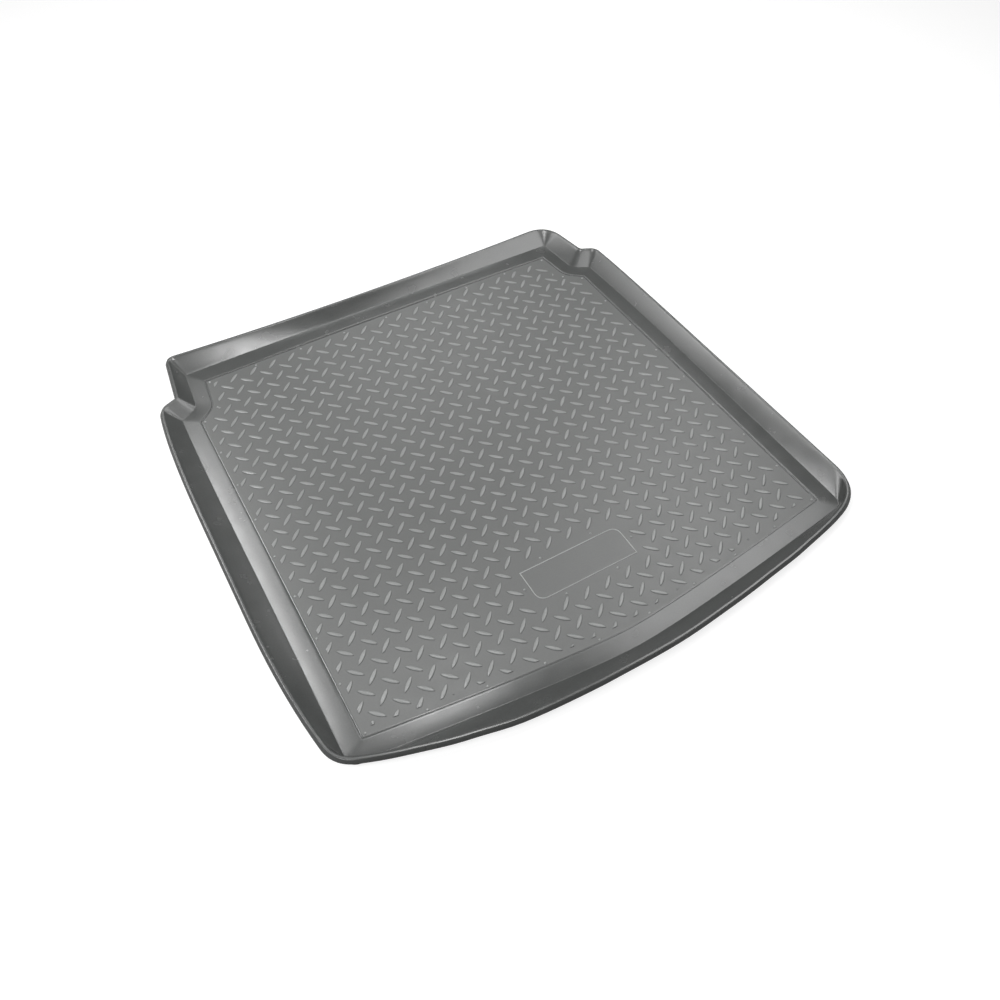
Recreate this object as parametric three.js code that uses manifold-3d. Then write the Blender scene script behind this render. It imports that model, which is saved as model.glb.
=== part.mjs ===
// Car boot liner, moulded in one piece: a treaded panel in the middle, a plain border round it,
// and a low rim that leans out to a lip with a turned-down edge. A notch on each side near the
// back clears the wheel arch.
// Millimetres. X runs across the boot, Y from the load edge (front) to the seats (back), Z up.
// The origin is on the underside, in the middle of the liner.

import * as THREE from 'three';
import { mergeGeometries, mergeVertices } from 'three/addons/utils/BufferGeometryUtils.js';
import Module from 'manifold-3d';

// Floor, measured at the foot of the rim
const FLOOR_HALF_WIDTH = 464.5;
const FLOOR_FRONT = 489;
const FLOOR_BACK = 501;
const FRONT_BOW = 60;
const BACK_BOW = 15;
const FLOOR_FRONT_ROUND = 14;
const FLOOR_BACK_ROUND = 5;

// Neck, the narrower stretch behind the notches, and the step that leads into it
const NECK_HALF_WIDTH = 417.5;
const NECK_FLARE = 9;
const NECK_LENGTH = 96;
const NOTCH_SLANT = 21;
const NOTCH_PINCH = 3.5;
const PINCH_LENGTH = 310;
const NOTCH_INNER_ROUND = 14;
const NOTCH_OUTER_ROUND = 4;

// Border between the foot of the rim and the treaded panel
const BORDER_FRONT = 29;
const BORDER_SIDE = 33;
const BORDER_BACK = 41;
const BORDER_NECK = 28;
const BORDER_NOTCH_INNER = 18;
const BORDER_NOTCH_OUTER = 24;
const PANEL_BACK_BOW = 8;
const PANEL_CORNER_ROUND = 3;
const PANEL_NECK_ROUND = 20;

// Rim: how high the crest of the lip stands above the tread, and how far outside the foot
const RIM_RISE = 20;
const RUN_FRONT = 33;
const RUN_BACK = 19.5;
const NOTCH_RUN_INNER = 21;
const NOTCH_RUN_OUTER = 27;
const CREST_NOTCH_OUTER_ROUND = 14;
const CREST_NOTCH_INNER_ROUND = 7;
const TAPER_LENGTH = 295;

// The crest isn't quite the same on the two sides: its runs outside the foot, how far the side
// draws in towards the notch and towards the front, the bow of the front edge and how full it is
// (the reach of its control point), how far the back corner stands behind the middle, and the
// roundings
const CREST_RIGHT = {
  runSide: 32.5,
  runNotch: 34.5,
  runBackCorner: 26,
  pinch: 5,
  taper: 0,
  frontBow: 82,
  frontFullness: 210,
  backHollow: 10,
  frontRound: 62,
  backRound: 50,
};
const CREST_LEFT = {
  runSide: 37,
  runNotch: 24,
  runBackCorner: 18,
  pinch: 16,
  taper: 23,
  frontBow: 95,
  frontFullness: 290,
  backHollow: 14,
  frontRound: 48,
  backRound: 14,
};

// Section of the sheet
const SHEET = 3;
const PANEL_STEP = 0.8;
const PANEL_STEP_RUN = 1;
const FOOT_FILLET = 4;
const BEAD_HALF_WIDTH = 1.6;
const BEAD_RISE = 1;
const LIP_WIDTH = 4;
const LIP_FALL = 1.2;
const HEM_FLARE = 3;
const HEM_DROP = 5.5;
const HEM_THICKNESS = 2.5;

// Tread: lens-shaped bumps on the diagonal, turned a quarter from one to the next
const TREAD_PITCH = 40;
const TREAD_LENGTH = 29;
const TREAD_WIDTH = 6.4;
const TREAD_HEIGHT = 1.2;
const TREAD_SHIFT_X = -17;
const TREAD_SHIFT_Y = -8;

// Plain margin of the panel, where the bumps are cut off
const MARGIN_FRONT = 15.5;
const MARGIN_SIDE = 15.5;
const MARGIN_BACK = 14;
const MARGIN_SHIFT_X = -3.5;

// Plain plate outline near the load edge, with two opposite corners rounded
const PLATE_LENGTH = 191;
const PLATE_WIDTH = 66;
const PLATE_ROUND = 19;
const PLATE_X = 4;
const PLATE_TO_FRONT = 179;
const PLATE_LINE = 2;
const PLATE_LINE_HEIGHT = 0.8;
const PLATE_CLEARANCE = 12;

// Vent nubs left by the mould: one in each corner of the panel, rows between them, six round the
// plate, and one more beside the left front corner's
const NUB_DIAMETER = 4.5;
const NUB_HEIGHT = 1;
const NUB_INSET = 7;
const NUB_PITCH = 94.5;
const NUB_PLATE_GAP = 9;
const NUB_PLATE_HALF_SPACING = 50;
const EXTRA_NUB_ALONG = 16.5;
const EXTRA_NUB_BACK = 10.5;

// A joined feature reaches this far into the sheet below it
const SINK = 0.05;

const PANEL_TOP = SHEET;
const BORDER_TOP = PANEL_TOP + PANEL_STEP;
const CREST_TOP = PANEL_TOP + RIM_RISE;

const wasm = await Module();
wasm.setup();

// Solids in and out of the boolean library

function toSolid(geometry) {
  const bare = geometry.clone();
  bare.deleteAttribute('normal');
  bare.deleteAttribute('uv');
  const merged = mergeVertices(bare, 1e-4);
  const mesh = new wasm.Mesh({
    numProp: 3,
    vertProperties: new Float32Array(merged.attributes.position.array),
    triVerts: new Uint32Array(merged.index.array),
  });
  return new wasm.Manifold(mesh);
}

function toGeometry(solid) {
  const mesh = solid.getMesh();
  const geometry = new THREE.BufferGeometry();
  geometry.setAttribute('position', new THREE.BufferAttribute(mesh.vertProperties, 3));
  geometry.setIndex(new THREE.BufferAttribute(mesh.triVerts, 1));
  geometry.computeVertexNormals();
  return geometry;
}

// Plans: corner points of one half of a closed outline, with the rounding at each corner

function footPlan() {
  const notchY = FLOOR_BACK - BACK_BOW - NECK_LENGTH;
  return {
    frontY: -FLOOR_FRONT,
    frontBow: FRONT_BOW,
    halfWidth: FLOOR_HALF_WIDTH,
    outerNotch: new THREE.Vector2(FLOOR_HALF_WIDTH - NOTCH_PINCH, notchY - NOTCH_SLANT),
    innerNotch: new THREE.Vector2(NECK_HALF_WIDTH + NECK_FLARE, notchY),
    backCorner: new THREE.Vector2(NECK_HALF_WIDTH, FLOOR_BACK - BACK_BOW),
    backY: FLOOR_BACK,
    frontFullness: FLOOR_HALF_WIDTH / 2,
    taper: 0,
    frontRound: FLOOR_FRONT_ROUND,
    outerRound: NOTCH_OUTER_ROUND,
    innerRound: NOTCH_INNER_ROUND,
    backRound: FLOOR_BACK_ROUND,
  };
}

function panelPlan(foot) {
  const halfWidth = foot.halfWidth - BORDER_SIDE;
  const backY = foot.backY - BORDER_BACK;
  return {
    frontY: foot.frontY + BORDER_FRONT,
    frontBow: foot.frontBow * (halfWidth / foot.halfWidth) ** 2,
    halfWidth,
    outerNotch: new THREE.Vector2(halfWidth, foot.outerNotch.y - BORDER_NOTCH_OUTER),
    innerNotch: new THREE.Vector2(foot.innerNotch.x - BORDER_NECK, foot.innerNotch.y - BORDER_NOTCH_INNER),
    backCorner: new THREE.Vector2(foot.backCorner.x - BORDER_NECK, backY - PANEL_BACK_BOW),
    backY,
    frontFullness: halfWidth / 2,
    taper: 0,
    frontRound: PANEL_CORNER_ROUND,
    outerRound: PANEL_CORNER_ROUND,
    innerRound: PANEL_NECK_ROUND,
    backRound: PANEL_CORNER_ROUND,
  };
}

function crestPlan(foot, side) {
  const halfWidth = foot.halfWidth + side.runSide;
  const backY = foot.backY + RUN_BACK;
  return {
    frontY: foot.frontY - RUN_FRONT,
    frontBow: side.frontBow,
    halfWidth,
    outerNotch: new THREE.Vector2(halfWidth - side.pinch, foot.outerNotch.y + NOTCH_RUN_OUTER),
    innerNotch: new THREE.Vector2(foot.innerNotch.x + side.runNotch, foot.innerNotch.y + NOTCH_RUN_INNER),
    backCorner: new THREE.Vector2(foot.backCorner.x + side.runBackCorner, backY + side.backHollow),
    backY,
    frontFullness: side.frontFullness,
    taper: side.taper,
    frontRound: side.frontRound,
    outerRound: CREST_NOTCH_OUTER_ROUND,
    innerRound: CREST_NOTCH_INNER_ROUND,
    backRound: side.backRound,
  };
}

// A plan drawn in by a margin at the front, at the sides and at the back
function insetPlan(plan, front, side, back) {
  return {
    ...plan,
    frontY: plan.frontY + front,
    halfWidth: plan.halfWidth - side,
    outerNotch: new THREE.Vector2(plan.outerNotch.x - side, plan.outerNotch.y - side / 2),
    innerNotch: new THREE.Vector2(plan.innerNotch.x - side, plan.innerNotch.y - side / 2),
    backCorner: new THREE.Vector2(plan.backCorner.x - side, plan.backCorner.y - back),
    backY: plan.backY - back,
  };
}

// The front edge of a plan is a parabola
function frontEdgeY(plan, x) {
  return plan.frontY + plan.frontBow * (x / plan.halfWidth) ** 2;
}

// The point at a distance from one point towards another
function towards(from, to, distance) {
  return to.clone().sub(from).setLength(distance).add(from);
}

// Points of a quadratic curve, without its first one
function curvePoints(start, control, end, steps) {
  return new THREE.QuadraticBezierCurve(start, control, end).getPoints(steps).slice(1);
}

// Right half of a plan, from the middle of the front edge round to the middle of the back edge
function halfOutline(plan) {
  const { frontY, frontBow, halfWidth, outerNotch, innerNotch, backCorner, backY } = plan;
  const frontMiddle = new THREE.Vector2(0, frontY);
  const backMiddle = new THREE.Vector2(0, backY);

  // the front edge swings from its middle to the corner, and the side tapers in to meet it
  const frontControl = new THREE.Vector2(plan.frontFullness, frontY);
  const frontCorner = new THREE.Vector2(halfWidth - plan.taper, frontEdgeY(plan, halfWidth - plan.taper));
  const frontEnd = towards(frontCorner, frontControl, plan.frontRound);
  const taperControl = new THREE.Vector2(halfWidth, frontCorner.y + TAPER_LENGTH / 2);
  const taperStart = towards(frontCorner, taperControl, plan.frontRound);
  const taperEnd = new THREE.Vector2(halfWidth, frontCorner.y + TAPER_LENGTH);

  // the side runs straight from there, then draws in to the notch
  const pinchStart = new THREE.Vector2(halfWidth, outerNotch.y - PINCH_LENGTH);
  const pinchControl = new THREE.Vector2(halfWidth, outerNotch.y - PINCH_LENGTH / 3);
  const outerStart = towards(outerNotch, pinchControl, plan.outerRound);
  const outerEnd = towards(outerNotch, innerNotch, plan.outerRound);
  const innerStart = towards(innerNotch, outerNotch, plan.innerRound);
  const innerEnd = towards(innerNotch, backCorner, plan.innerRound);
  const backStart = towards(backCorner, innerNotch, plan.backRound);
  const backControl = new THREE.Vector2(backCorner.x / 2, backY);
  const backEnd = towards(backCorner, backControl, plan.backRound);

  return [
    frontMiddle,
    ...curvePoints(frontMiddle, frontControl, frontEnd, 8),
    ...curvePoints(frontEnd, frontCorner, taperStart, 6),
    ...curvePoints(taperStart, taperControl, taperEnd, 4),
    pinchStart,
    ...curvePoints(pinchStart, pinchControl, outerStart, 4),
    ...curvePoints(outerStart, outerNotch, outerEnd, 3),
    innerStart,
    ...curvePoints(innerStart, innerNotch, innerEnd, 4),
    backStart,
    ...curvePoints(backStart, backCorner, backEnd, 3),
    ...curvePoints(backEnd, backControl, backMiddle, 4),
  ];
}

// Whole outline, counter-clockwise seen from above, from a plan for each side
function outline(right, left) {
  const leftHalf = halfOutline(left).slice(1, -1).reverse();
  return [...halfOutline(right), ...leftHalf.map((point) => new THREE.Vector2(-point.x, point.y))];
}

// Outline moved outwards by a distance, square to its edges
function offset(points, distance) {
  return points.map((point, i) => {
    const before = points[(i + points.length - 1) % points.length];
    const after = points[(i + 1) % points.length];
    const normalIn = point.clone().sub(before).normalize();
    const normalOut = after.clone().sub(point).normalize();
    const bisector = new THREE.Vector2(normalIn.y + normalOut.y, -normalIn.x - normalOut.x).normalize();
    const spread = bisector.x * normalIn.y - bisector.y * normalIn.x;
    return point.clone().addScaledVector(bisector, distance / spread);
  });
}

function ring(points, z) {
  return points.map((point) => new THREE.Vector3(point.x, point.y, z));
}

// Closed skin over rings that run outwards over the top and back in underneath
function skin(rings) {
  const count = rings[0].length;
  const index = [];
  for (let r = 0; r + 1 < rings.length; r += 1) {
    for (let i = 0; i < count; i += 1) {
      const next = (i + 1) % count;
      const inner = r * count + i;
      const innerNext = r * count + next;
      index.push(inner, inner + count, innerNext + count, inner, innerNext + count, innerNext);
    }
  }
  const last = (rings.length - 1) * count;
  const flat = (points) => points.map((point) => new THREE.Vector2(point.x, point.y));
  const top = THREE.ShapeUtils.triangulateShape(flat(rings[0]), []);
  top.forEach(([a, b, c]) => index.push(a, b, c));
  const bottom = THREE.ShapeUtils.triangulateShape(flat(rings[rings.length - 1]), []);
  bottom.forEach(([a, b, c]) => index.push(last + a, last + c, last + b));
  const geometry = new THREE.BufferGeometry().setFromPoints(rings.flat());
  geometry.setIndex(index);
  return geometry;
}

// The moulded sheet: panel, border, wall, bead, lip, hem and underside
function sheetGeometry(panel, foot, crest) {
  const lean = Math.atan2(RIM_RISE, RUN_FRONT);
  const out = SHEET * Math.sin(lean);
  const down = SHEET * Math.cos(lean);
  const footReach = FOOT_FILLET / 2;
  const wallBottomZ = BORDER_TOP + FOOT_FILLET / 4;
  const wallTopZ = CREST_TOP - BEAD_RISE;
  const lipZ = CREST_TOP - LIP_FALL;
  const hemZ = lipZ - HEM_DROP;
  return skin([
    ring(panel, PANEL_TOP),
    ring(offset(panel, PANEL_STEP_RUN), BORDER_TOP),
    ring(offset(foot, -FOOT_FILLET), BORDER_TOP),
    ring(offset(foot, footReach), wallBottomZ),
    ring(offset(crest, -BEAD_HALF_WIDTH), wallTopZ),
    ring(crest, CREST_TOP),
    ring(offset(crest, LIP_WIDTH), lipZ),
    ring(offset(crest, LIP_WIDTH + HEM_FLARE), hemZ),
    ring(offset(crest, LIP_WIDTH + HEM_FLARE - HEM_THICKNESS), hemZ),
    ring(offset(crest, LIP_WIDTH - HEM_THICKNESS), lipZ - HEM_THICKNESS),
    ring(offset(crest, out - BEAD_HALF_WIDTH), wallTopZ - down),
    ring(offset(foot, footReach + out), wallBottomZ - down),
    ring(offset(foot, -footReach), 0),
  ]);
}

// A four-sided point: the tread's bumps and the nubs
function pointGeometry(length, width, height) {
  const cone = new THREE.ConeGeometry(1, height + SINK, 4);
  cone.rotateX(Math.PI / 2);
  const grow = (height + SINK) / height;
  cone.scale((length / 2) * grow, (width / 2) * grow, 1);
  cone.translate(0, 0, PANEL_TOP - SINK + (height + SINK) / 2);
  return cone;
}

function plateCentre() {
  return new THREE.Vector2(PLATE_X, -FLOOR_FRONT + PLATE_TO_FRONT);
}

// A bump is left out where its middle would come too close to the plate
function clearsPlate(x, y) {
  const centre = plateCentre();
  const clearX = Math.abs(x - centre.x) > PLATE_LENGTH / 2 + PLATE_CLEARANCE;
  const clearY = Math.abs(y - centre.y) > PLATE_WIDTH / 2 + PLATE_CLEARANCE;
  return clearX || clearY;
}

// Bumps on a lattice, cut off at the panel's margin
function treadSolid(panel) {
  const bump = pointGeometry(TREAD_LENGTH, TREAD_WIDTH, TREAD_HEIGHT);
  const bumps = [];
  const step = TREAD_PITCH / 2;
  const columns = Math.ceil(FLOOR_HALF_WIDTH / step) + 1;
  const rows = Math.ceil(Math.max(FLOOR_FRONT, FLOOR_BACK) / step) + 1;
  for (let row = -rows; row <= rows; row += 1) {
    for (let column = -columns; column <= columns; column += 1) {
      const x = TREAD_SHIFT_X + column * step;
      const y = TREAD_SHIFT_Y + row * step;
      if ((row + column) % 2 === 0 && clearsPlate(x, y)) {
        const turn = row % 2 === 0 ? Math.PI / 4 : -Math.PI / 4;
        bumps.push(bump.clone().rotateZ(turn).translate(x, y, 0));
      }
    }
  }
  const marginPlan = insetPlan(panel, MARGIN_FRONT, MARGIN_SIDE, MARGIN_BACK);
  const margin = outline(marginPlan, marginPlan);
  const depth = TREAD_HEIGHT + 2 * SINK;
  const trim = new THREE.ExtrudeGeometry(new THREE.Shape(margin), { depth, bevelEnabled: false });
  trim.translate(MARGIN_SHIFT_X, 0, PANEL_TOP - SINK);
  return toSolid(mergeGeometries(bumps)).intersect(toSolid(trim));
}

// The plate's outline: square at two opposite corners, rounded at the other two
function plateShape(inset) {
  const x = PLATE_LENGTH / 2 - inset;
  const y = PLATE_WIDTH / 2 - inset;
  const round = PLATE_ROUND - inset;
  const shape = new THREE.Shape();
  shape.moveTo(x, -y);
  shape.lineTo(x, y - round);
  shape.quadraticCurveTo(x, y, x - round, y);
  shape.lineTo(-x, y);
  shape.lineTo(-x, -y + round);
  shape.quadraticCurveTo(-x, -y, -x + round, -y);
  shape.closePath();
  return shape;
}

function plateSolid() {
  const line = plateShape(0);
  line.holes.push(plateShape(PLATE_LINE));
  const depth = PLATE_LINE_HEIGHT + SINK;
  const frame = new THREE.ExtrudeGeometry(line, { depth, bevelEnabled: false, curveSegments: 4 });
  const centre = plateCentre();
  frame.translate(centre.x, centre.y, PANEL_TOP - SINK);
  return toSolid(frame);
}

// Even steps from one point to another, with the first point and without the last
function evenSteps(from, to) {
  const count = Math.max(Math.round(from.distanceTo(to) / NUB_PITCH), 1);
  return Array.from({ length: count }, (_, i) => from.clone().lerp(to, i / count));
}

function nubPlaces(panel) {
  const plan = insetPlan(panel, NUB_INSET, NUB_INSET, NUB_INSET);
  const mirrored = (point) => new THREE.Vector2(-point.x, point.y);
  const frontCorner = new THREE.Vector2(plan.halfWidth, frontEdgeY(plan, plan.halfWidth));
  const side = [
    ...evenSteps(frontCorner, plan.outerNotch),
    ...evenSteps(plan.outerNotch, plan.innerNotch),
    ...evenSteps(plan.innerNotch, plan.backCorner),
  ];
  const extra = mirrored(frontCorner).add(new THREE.Vector2(EXTRA_NUB_ALONG, EXTRA_NUB_BACK));
  const front = evenSteps(frontCorner, mirrored(frontCorner)).slice(1);
  front.forEach((place) => place.setY(frontEdgeY(plan, place.x)));
  const back = evenSteps(plan.backCorner, mirrored(plan.backCorner));
  back.push(mirrored(plan.backCorner));
  const centre = plateCentre();
  const besideX = PLATE_LENGTH / 2 + NUB_PLATE_GAP;
  const besideY = PLATE_WIDTH / 2 + NUB_PLATE_GAP;
  const plate = [
    [-besideX, 0],
    [besideX, 0],
    [-NUB_PLATE_HALF_SPACING, -besideY],
    [NUB_PLATE_HALF_SPACING, -besideY],
    [-NUB_PLATE_HALF_SPACING, besideY],
    [NUB_PLATE_HALF_SPACING, besideY],
  ].map(([x, y]) => new THREE.Vector2(centre.x + x, centre.y + y));
  return [...side, ...side.map(mirrored), ...front, ...back, ...plate, extra];
}

function nubSolid(panel) {
  const nub = pointGeometry(NUB_DIAMETER, NUB_DIAMETER, NUB_HEIGHT);
  const nubs = nubPlaces(panel).map((place) => nub.clone().translate(place.x, place.y, 0));
  return toSolid(mergeGeometries(nubs));
}

function linerGeometry() {
  const foot = footPlan();
  const panel = panelPlan(foot);
  const crest = outline(crestPlan(foot, CREST_RIGHT), crestPlan(foot, CREST_LEFT));
  const sheet = sheetGeometry(outline(panel, panel), outline(foot, foot), crest);
  return toGeometry(toSolid(sheet).add(treadSolid(panel)).add(plateSolid()).add(nubSolid(panel)));
}

const greyPolyurethane = new THREE.MeshStandardMaterial({ color: 0x7c7f7d, roughness: 0.45, metalness: 0 });
const liner = new THREE.Mesh(linerGeometry(), greyPolyurethane);
liner.name = 'liner';

const group = new THREE.Group();
group.add(liner);

export default group;
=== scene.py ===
"""Models a moulded car boot liner in full detail, with its stage and camera."""

import math

import bpy
from bpy.props import FloatProperty, FloatVectorProperty, PointerProperty
from mathutils import Matrix, Vector


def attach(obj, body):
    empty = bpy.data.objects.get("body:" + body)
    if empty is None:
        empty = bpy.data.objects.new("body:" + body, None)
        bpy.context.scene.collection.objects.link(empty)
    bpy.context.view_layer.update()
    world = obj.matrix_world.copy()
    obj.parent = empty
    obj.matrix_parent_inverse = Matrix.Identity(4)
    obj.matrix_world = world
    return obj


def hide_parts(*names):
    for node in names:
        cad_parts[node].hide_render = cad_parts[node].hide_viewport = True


bl_info = {
    "name": "Car boot liner",
    "version": (1, 0, 0),
    "blender": (4, 5, 0),
    "location": "3D View > Sidebar > Boot liner",
    "description": "Models a moulded car boot liner and its stage",
    "category": "Object",
}

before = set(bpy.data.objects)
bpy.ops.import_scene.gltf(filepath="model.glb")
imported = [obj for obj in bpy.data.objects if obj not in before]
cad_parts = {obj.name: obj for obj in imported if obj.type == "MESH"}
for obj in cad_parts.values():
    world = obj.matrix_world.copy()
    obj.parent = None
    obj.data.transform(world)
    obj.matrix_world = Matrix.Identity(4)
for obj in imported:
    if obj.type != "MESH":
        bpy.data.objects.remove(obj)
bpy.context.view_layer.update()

MM = 0.001

# Floor outline at the foot of the rim
FRONT_BOW = 50.5 * MM
FRONT_FULLNESS = 100 * MM
BACK_BOW = 3 * MM
RIGHT_SWELL = 2.5 * MM
FLOOR_FRONT_ROUND = 20 * MM
FLOOR_BACK_ROUND = 5 * MM
NECK_FLARE = 9 * MM
NOTCH_SLANT = 21 * MM
NOTCH_PINCH = 3.5 * MM
NOTCH_INNER_ROUND = 14 * MM
NOTCH_OUTER_ROUND = 4 * MM
PINCH_LENGTH = 310 * MM
TAPER_LENGTH = 295 * MM

# Border between the foot and the treaded panel
BORDER_FRONT = 32 * MM
BORDER_SIDE = 33 * MM
BORDER_BACK = 40 * MM
BORDER_NECK = 28 * MM
BORDER_NOTCH_INNER = 18 * MM
BORDER_NOTCH_OUTER = 24 * MM
PANEL_BACK_BOW = 3 * MM
PANEL_CORNER_ROUND = 3 * MM
PANEL_NECK_ROUND = 20 * MM

# Crest of the rim: how far it stands outside the foot at the front, the back and the notches
RUN_FRONT = 30.5 * MM
RUN_BACK = 25 * MM
NOTCH_RUN_INNER = 21 * MM
NOTCH_RUN_OUTER = 27 * MM
CREST_NOTCH_OUTER_ROUND = 14 * MM
CREST_NOTCH_INNER_ROUND = 7 * MM

# What differs between the two sides of the crest
CREST_RIGHT = {
    "run_side": 32.5 * MM,
    "run_notch": 34.5 * MM,
    "run_back_corner": 26 * MM,
    "pinch": 5 * MM,
    "taper": 0.0,
    "front_bow": 82 * MM,
    "front_fullness": 210 * MM,
    "back_hollow": 10 * MM,
    "front_round": 62 * MM,
    "back_round": 50 * MM,
}
CREST_LEFT = {
    "run_side": 37 * MM,
    "run_notch": 24 * MM,
    "run_back_corner": 18 * MM,
    "pinch": 16 * MM,
    "taper": 23 * MM,
    "front_bow": 95 * MM,
    "front_fullness": 290 * MM,
    "back_hollow": 14 * MM,
    "front_round": 34 * MM,
    "back_round": 14 * MM,
}

# Slight waves of the crest along the load edge: place across the boot and how far inwards,
# and the line that the waves lie in front of
FRONT_WAVES = (
    (-500 * MM, 0), (-440 * MM, 4.3 * MM), (-380 * MM, 4.8 * MM), (-300 * MM, 2 * MM),
    (-220 * MM, -2.2 * MM), (-100 * MM, -1 * MM), (-40 * MM, 0), (40 * MM, 0),
    (160 * MM, 2.2 * MM), (240 * MM, 2 * MM), (330 * MM, -1 * MM), (415 * MM, -3 * MM),
    (480 * MM, 0))
WAVES_BEFORE = -380 * MM

# Points along each curve of an outline, from the middle of the front round to the back
FRONT_STEPS = 26
FRONT_CORNER_STEPS = 14
TAPER_STEPS = 10
PINCH_STEPS = 12
OUTER_NOTCH_STEPS = 8
INNER_NOTCH_STEPS = 12
BACK_CORNER_STEPS = 10
BACK_STEPS = 18

# Section at the panel line, in millimetres: how far out from it, and how high above the panel
PANEL_LINE = (
    (-2.4, 0), (-1.4, 0), (-0.9, -0.06), (-0.4, -0.2), (0, -0.22), (0.45, 0.1), (0.9, 0.84),
    (1.4, 1.13), (2.0, 1.2))

# Border: shares of its width that have a ring, where it ends, and its fall in millimetres
BORDER_SHARES = (0.1, 0.2, 0.3, 0.4, 0.5, 0.6, 0.7, 0.8, 0.88, 0.95, 1.0)
BORDER_END = -0.8
BORDER_FALL = 1.9
BORDER_DROOP = 0.5

# Section at the crease, in millimetres: how far out from the foot, and how high above the panel
CREASE = ((-0.35, -1.22), (0.0, -1.14), (0.4, -0.9))

# Wall: its rings, and how hollow it is
WALL_STEPS = 9
WALL_HOLLOW = 0.1

# Section at the crest, in millimetres: how far out from it, and how far below the top. A narrow
# flat lies on top, and the lip falls steeply from it to its turned-down edge
CREST_SECTION = (
    (-2.8, 1.7), (-2.2, 1.2), (-1.6, 0.72), (-1.1, 0.35), (-0.6, 0.12), (0.0, 0.03),
    (1.0, 0.0), (2.0, 0.0), (2.8, 0.05), (3.2, 0.28), (3.5, 0.8), (3.9, 1.7), (4.6, 2.9),
    (5.6, 4.4), (6.5, 5.8), (7.0, 6.7))

# Lip and its turned-down edge, as the underside follows them
LIP_WIDTH = 4 * MM
LIP_FALL = 1.2 * MM
HEM_FLARE = 3 * MM
HEM_DROP = 5.5 * MM
HEM_THICKNESS = 2.5 * MM

# Underside of the wall: where it starts and ends against the foot and the crest, and its rings
UNDER_FOOT_OUT = 2 * MM
UNDER_FOOT_RISE = 1.6 * MM
UNDER_TOP_IN = 2.4 * MM
UNDER_TOP_DROP = 1.9 * MM
UNDER_STEPS = 6

# Underside below the foot, in millimetres: how far out from it, and how high above the ground
UNDER_FOOT = ((1.0, 0.55), (-0.2, 0.14), (-1.6, 0.0), (-3.0, 0.0))

# Places of the tread and of the margin where its bumps are cut off
TREAD_SHIFT = Vector((-17 * MM, -8 * MM))
MARGIN_FRONT = 13.5 * MM
MARGIN_SIDE = 15.5 * MM
MARGIN_BACK = 14 * MM
MARGIN_SHIFT_X = -3.5 * MM

# How far the block that cuts the bumps off reaches below and above the panel
BLOCK_BELOW = 2 * MM
BLOCK_ABOVE = 4 * MM

# One bump: corners round it, how pointed its ends are, the share of its height that its side
# takes, its top against its foot, then the crown's rise, its size against the top, and its tip
BUMP_CORNERS = 12
BUMP_POINTEDNESS = 1.25
BUMP_SIDE = 0.7
BUMP_TOP = (0.95, 0.74)
CROWN_RISE = 0.26
CROWN_SIZE = (0.88, 0.62)
CROWN_TIP = 0.04
BUMP_SMOOTH_ANGLE = math.radians(18)

# Plate
PLATE_X = 4 * MM
PLATE_TO_FRONT = 181.5 * MM
PLATE_ROUND = 19 * MM
PLATE_CLEARANCE = 12 * MM
# Painted highlight: the plate line takes the tread's painted-sheen colour, made lighter again by
# this factor
PLATE_PAINTED_HIGHLIGHT = 1.6
PLATE_CORNER_STEPS = 8
PLATE_SMOOTH_ANGLE = math.radians(50)

# Section of the line round the plate: shares of its width and of its height
PLATE_SECTION = ((0.1, 0.6), (0.35, 1.0), (0.65, 1.0), (0.9, 0.6))

# Vent nubs
NUB_INSET = 7 * MM
NUB_INSET_FRONT = 5.5 * MM
NUB_PITCH = 94.5 * MM
NUB_PLATE_GAP = 9 * MM
NUB_PLATE_HALF_SPACING = 50 * MM
# Painted highlight: the nubs take the tread's painted-sheen colour, made lighter again by this
# factor
NUB_PAINTED_HIGHLIGHT = 1.3
EXTRA_NUB = Vector((16.5 * MM, 10.5 * MM))

# How far a raised form reaches into the sheet below it
SINK = 0.1 * MM

# Specular level of the polyurethane, above the usual 0.5 for its satin sheen
SHEEN = 0.9

# Polyurethane: sizes of its clouding, speckle and patches of gloss, and how much each varies
CLOUD_SIZE = 70 * MM
CLOUD_SHARE = (0.2, 0.4)
SPECKLE_SIZE = 2.6 * MM
SPECKLE_SHARE = (0.0, 0.4)
TONE_SPREAD = 0.12
GLOSS_SIZE = 35 * MM
GLOSS_SPREAD = 0.03

# Range in which a noise's values mostly lie
NOISE_RANGE = (0.3, 0.7)

# Strength and size of the grain on each finish, and its depth
RIM_GRAIN = (0.12, 1.1 * MM)
FLOOR_GRAIN = (0.2, 0.9 * MM)
RAISED_GRAIN = (0.08, 0.9 * MM)
GRAIN_DEPTH = 0.1 * MM

# Painted shade: share of a bump's height below which its foot keeps the sheet's darker colour,
# and half the blend there
SHADED_FOOT_SHARE = 0.35
SHADED_FOOT_BLEND = 0.2 * MM

# Floor of the stage
STAGE_RADIUS = 12
STAGE_ROUGHNESS = 0.9
STAGE_GLOW = 0.8

# Softboxes that shine straight down: name, place and size in metres, and power in watts
SOFTBOXES = (
    ("strip_left", (-0.8, 1.08, 1.4), (0.35, 1.4), 14.7),
    ("strip_inner", (-0.45, 1.6, 1.4), (0.35, 1.05), 2.8),
    ("key_middle", (-0.1, 0.22, 1.4), (0.32, 0.32), 4.4),
    ("softbox_right", (0.95, 0.2, 1.4), (1.05, 1.05), 12.4),
    ("softbox_far_right", (1.3, 1.08, 1.4), (0.35, 0.7), 4.2),
    ("softbox_back", (0.6, 1.78, 1.4), (1.05, 0.7), 9.3),
    ("fill_left", (-1.15, -0.68, 1.4), (0.35, 0.7), 17.1),
    ("fill_front", (0.6, -1.5, 0.8), (0.5, 0.5), 6.0),
)

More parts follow.
